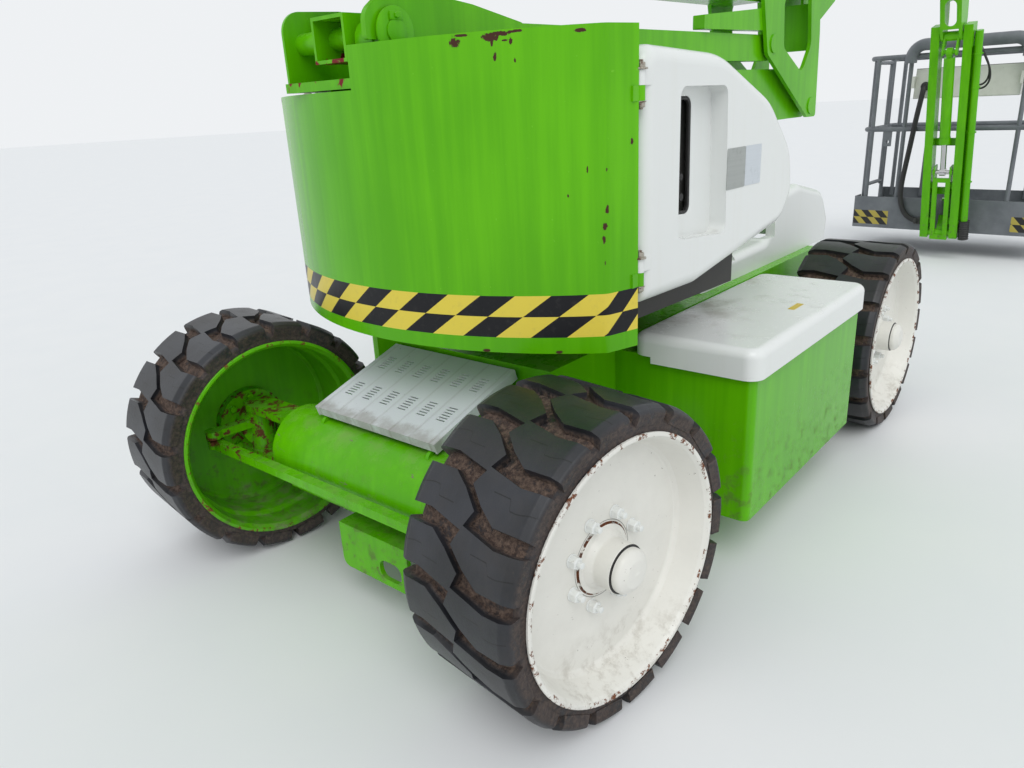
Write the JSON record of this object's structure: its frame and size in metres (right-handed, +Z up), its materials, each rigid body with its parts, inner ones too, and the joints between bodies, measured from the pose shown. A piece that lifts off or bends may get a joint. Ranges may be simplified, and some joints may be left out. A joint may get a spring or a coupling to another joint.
{
  "type": "articulating boom lift",
  "caption": "Narrow wheeled articulating boom lift parked with folded booms, hanging fly boom and railed work basket.",
  "frame": {"origin": "centre of the parked machine's box on the ground", "axes": "+X forward towards the basket, +Y left, +Z up; the turret stands slewed 2.6 degrees to the right"},
  "size_m": [6.3011, 1.6774, 2.063],
  "materials": {
    "green_paint": "gloss",
    "cream_shell": "gloss",
    "tyre": "matt",
    "cream_rim": "gloss",
    "engine_grey": "matt",
    "grey_paint": "satin",
    "chrome_rod": "polished"
  },
  "bodies": {
    "chassis": {"chassis_frame": "green_paint", "rear_axle": "green_paint", "front_axle": "green_paint", "battery_boxes": "green_paint", "front_cover": "cream_shell", "rear_panel": "cream_shell"},
    "lid_right": {"lid_right": "cream_shell"},
    "lid_left": {"lid_left": "cream_shell"},
    "knuckle_right": {"knuckle_rear_right": "green_paint"},
    "knuckle_left": {"knuckle_rear_left": "green_paint"},
    "track_rod": {"track_rod": "green_paint"},
    "wheel_rear_left": {"tyre_rear_left": "tyre", "rim_rear_left": "cream_rim"},
    "wheel_rear_right": {"tyre_rear_right": "tyre", "rim_rear_right": "cream_rim"},
    "wheel_front_left": {"tyre_front_left": "tyre", "rim_front_left": "cream_rim"},
    "wheel_front_right": {"tyre_front_right": "tyre", "rim_front_right": "cream_rim"},
    "turret": {"turret_frame": "green_paint", "counterweight": "green_paint", "engine": "engine_grey"},
    "canopy_right": {"canopy_right": "cream_shell"},
    "canopy_left": {"canopy_left": "cream_shell"},
    "low_arm": {"low_arm": "green_paint"},
    "low_link": {"low_link": "green_paint"},
    "front_knuckle": {"front_knuckle": "green_paint"},
    "mid_arm": {"mid_arm": "green_paint"},
    "mid_link": {"mid_link": "green_paint"},
    "rear_knuckle": {"rear_knuckle": "green_paint"},
    "boom_outer": {"boom_outer": "green_paint"},
    "boom_inner": {"boom_inner": "green_paint"},
    "jib_yoke": {"jib_yoke": "green_paint"},
    "fly_boom": {"jib": "green_paint", "jib_conduit": "green_paint"},
    "basket_bracket": {"basket_bracket": "green_paint"},
    "basket": {"basket_floor": "grey_paint", "toe_plates": "grey_paint", "rails_rear": "grey_paint", "rails_front": "grey_paint", "rails_right": "grey_paint", "rails_left": "grey_paint", "console": "grey_paint"},
    "basket_gate": {"basket_gate": "grey_paint"},
    "low_cylinder_barrel": {"low_cylinder_barrel": "green_paint"},
    "low_cylinder_rod": {"low_cylinder_rod": "chrome_rod"},
    "luff_cylinder_barrel": {"luff_cylinder_barrel": "green_paint"},
    "luff_cylinder_rod": {"luff_cylinder_rod": "chrome_rod"},
    "jib_cylinder_barrel": {"jib_cylinder_barrel": "green_paint"},
    "jib_cylinder_rod": {"jib_cylinder_rod": "chrome_rod"}
  },
  "joints": [
    {"name": "wheel_front_left_spin", "type": "hinge", "parent": "chassis", "child": "wheel_front_left", "pos_m": [-0.93784, 0.6455, 0.344], "axis": [0, 1, 0], "continuous": true},
    {"name": "wheel_front_right_spin", "type": "hinge", "parent": "chassis", "child": "wheel_front_right", "pos_m": [-0.93784, -0.5475, 0.344], "axis": [0, 1, 0], "continuous": true},
    {"name": "steer_right", "type": "hinge", "parent": "chassis", "child": "knuckle_right", "pos_m": [-2.79084, -0.526, 0.344], "axis": [0, 0, 1], "range_deg": [-23.3, 36.7]},
    {"name": "steer_left", "type": "hinge", "parent": "chassis", "child": "knuckle_left", "pos_m": [-2.79084, 0.624, 0.344], "axis": [0, 0, 1], "range_deg": [-23.3, 36.7]},
    {"name": "track_rod_slide", "type": "slide", "parent": "chassis", "child": "track_rod", "axis": [0, 1, 0], "range_m": [-0.0925, 0.0595]},
    {"name": "wheel_rear_left_spin", "type": "hinge", "parent": "knuckle_left", "child": "wheel_rear_left", "pos_m": [-2.78833, 0.64536, 0.344], "axis": [0.1167, 0.9932, 0], "continuous": true},
    {"name": "wheel_rear_right_spin", "type": "hinge", "parent": "knuckle_right", "child": "wheel_rear_right", "pos_m": [-2.79335, -0.54735, 0.344], "axis": [0.1167, 0.9932, 0], "continuous": true},
    {"name": "lid_right_hinge", "type": "hinge", "parent": "chassis", "child": "lid_right", "pos_m": [-1.79184, -0.341, 0.579], "axis": [-1, 0, 0], "range_deg": [0, 25]},
    {"name": "lid_left_hinge", "type": "hinge", "parent": "chassis", "child": "lid_left", "pos_m": [-1.79184, 0.439, 0.579], "axis": [1, 0, 0], "range_deg": [0, 25]},
    {"name": "slew", "type": "hinge", "parent": "chassis", "child": "turret", "pos_m": [-1.86434, 0.049, 0.6425], "axis": [0, 0, 1], "range_deg": [-177, 177]},
    {"name": "canopy_right_hinge", "type": "hinge", "parent": "turret", "child": "canopy_right", "pos_m": [-2.47677, -0.5198, 1.066], "axis": [0, 0, -1], "range_deg": [0, 90]},
    {"name": "canopy_left_hinge", "type": "hinge", "parent": "turret", "child": "canopy_left", "pos_m": [-2.4227, 0.67097, 1.066], "axis": [0, 0, 1], "range_deg": [0, 90]},
    {"name": "riser_lift", "type": "hinge", "parent": "turret", "child": "low_arm", "pos_m": [-2.2939, 0.06851, 1.16], "axis": [-0.0454, -0.999, 0], "range_deg": [0, 65]},
    {"name": "low_link_hinge", "type": "hinge", "parent": "turret", "child": "low_link", "pos_m": [-2.6835, 0.0862, 1.4], "axis": [-0.0454, -0.999, 0], "range_deg": [0, 65]},
    {"name": "front_knuckle_hinge", "type": "hinge", "parent": "low_arm", "child": "front_knuckle", "pos_m": [-0.41583, -0.01677, 1.16], "axis": [-0.0454, -0.999, 0], "range_deg": [-65, 0]},
    {"name": "mid_arm_hinge", "type": "hinge", "parent": "front_knuckle", "child": "mid_arm", "pos_m": [-0.84539, 0.00273, 1.6], "axis": [-0.0454, -0.999, 0], "range_deg": [-65, 0]},
    {"name": "mid_link_hinge", "type": "hinge", "parent": "front_knuckle", "child": "mid_link", "pos_m": [-0.48576, -0.0136, 1.74], "axis": [-0.0454, -0.999, 0], "range_deg": [-65, 0]},
    {"name": "rear_knuckle_hinge", "type": "hinge", "parent": "mid_arm", "child": "rear_knuckle", "pos_m": [-2.65852, 0.08507, 1.6], "axis": [-0.0454, -0.999, 0], "range_deg": [0, 65]},
    {"name": "boom_luff", "type": "hinge", "parent": "rear_knuckle", "child": "boom_outer", "pos_m": [-2.5836, 0.08167, 1.975], "axis": [-0.0454, -0.999, 0], "range_deg": [0, 70]},
    {"name": "telescope", "type": "slide", "parent": "boom_outer", "child": "boom_inner", "axis": [0.999, -0.0454, 0], "range_m": [0, 1.3]},
    {"name": "yoke_level", "type": "hinge", "parent": "boom_inner", "child": "jib_yoke", "pos_m": [2.03664, -0.12814, 1.49], "axis": [-0.0454, -0.999, 0], "range_deg": [-70, 0]},
    {"name": "fly_boom_lift", "type": "hinge", "parent": "jib_yoke", "child": "fly_boom", "pos_m": [2.03664, -0.12814, 1.49], "axis": [-0.0454, -0.999, 0], "range_deg": [0, 110]},
    {"name": "basket_level", "type": "hinge", "parent": "fly_boom", "child": "basket_bracket", "pos_m": [2.34532, -0.14216, 0.192], "axis": [-0.0454, -0.999, 0], "range_deg": [-110, 0]},
    {"name": "basket_turn", "type": "hinge", "parent": "basket_bracket", "child": "basket", "pos_m": [2.42424, -0.14574, 0.358], "axis": [0, 0, 1], "range_deg": [-28, 28]},
    {"name": "gate_hinge", "type": "hinge", "parent": "basket", "child": "basket_gate", "pos_m": [2.98055, 0.47236, 0.9], "axis": [0, 0, 1], "range_deg": [0, 85]},
    {"name": "low_cylinder_hinge", "type": "hinge", "parent": "turret", "child": "low_cylinder_barrel", "pos_m": [-2.11408, 0.06034, 0.79], "axis": [-0.0454, -0.999, 0], "range_deg": [0, 57.37]},
    {"name": "low_cylinder_slide", "type": "slide", "parent": "low_cylinder_barrel", "child": "low_cylinder_rod", "axis": [0.961, -0.0436, 0.2732], "range_m": [0, 0.4206]},
    {"name": "luff_cylinder_hinge", "type": "hinge", "parent": "rear_knuckle", "child": "luff_cylinder_barrel", "pos_m": [-2.34385, 0.07078, 1.838], "axis": [-0.0454, -0.999, 0], "range_deg": [0, 75.42]},
    {"name": "luff_cylinder_slide", "type": "slide", "parent": "luff_cylinder_barrel", "child": "luff_cylinder_rod", "axis": [0.9989, -0.0454, 0.0107], "range_m": [0, 0.2948]},
    {"name": "jib_cylinder_hinge", "type": "hinge", "parent": "jib_yoke", "child": "jib_cylinder_barrel", "pos_m": [2.02066, -0.12741, 1.396], "axis": [-0.0454, -0.999, 0], "range_deg": [0, 111.71]},
    {"name": "jib_cylinder_slide", "type": "slide", "parent": "jib_cylinder_barrel", "child": "jib_cylinder_rod", "axis": [0.2614, -0.0119, -0.9652], "range_m": [0, 0.1547]}
  ],
  "couplings": [
    {"joint": "steer_left", "follows": "steer_right", "ratio": 1},
    {"joint": "track_rod_slide", "follows": "steer_right", "m_per_rad": -0.143},
    {"joint": "low_link_hinge", "follows": "riser_lift", "ratio": 1},
    {"joint": "front_knuckle_hinge", "follows": "riser_lift", "ratio": -1},
    {"joint": "mid_arm_hinge", "follows": "riser_lift", "ratio": -1},
    {"joint": "mid_link_hinge", "follows": "riser_lift", "ratio": -1},
    {"joint": "rear_knuckle_hinge", "follows": "riser_lift", "ratio": 1},
    {"joint": "yoke_level", "follows": "boom_luff", "ratio": -1},
    {"joint": "basket_level", "follows": "fly_boom_lift", "ratio": -1},
    {"joint": "low_cylinder_hinge", "follows": "riser_lift", "ratio": 0.88192},
    {"joint": "low_cylinder_slide", "follows": "riser_lift", "m_per_rad": 0.37028},
    {"joint": "luff_cylinder_hinge", "follows": "boom_luff", "ratio": 1.0767},
    {"joint": "luff_cylinder_slide", "follows": "boom_luff", "m_per_rad": 0.24088},
    {"joint": "jib_cylinder_hinge", "follows": "fly_boom_lift", "ratio": 1.0151},
    {"joint": "jib_cylinder_slide", "follows": "fly_boom_lift", "m_per_rad": 0.0803}
  ]
}
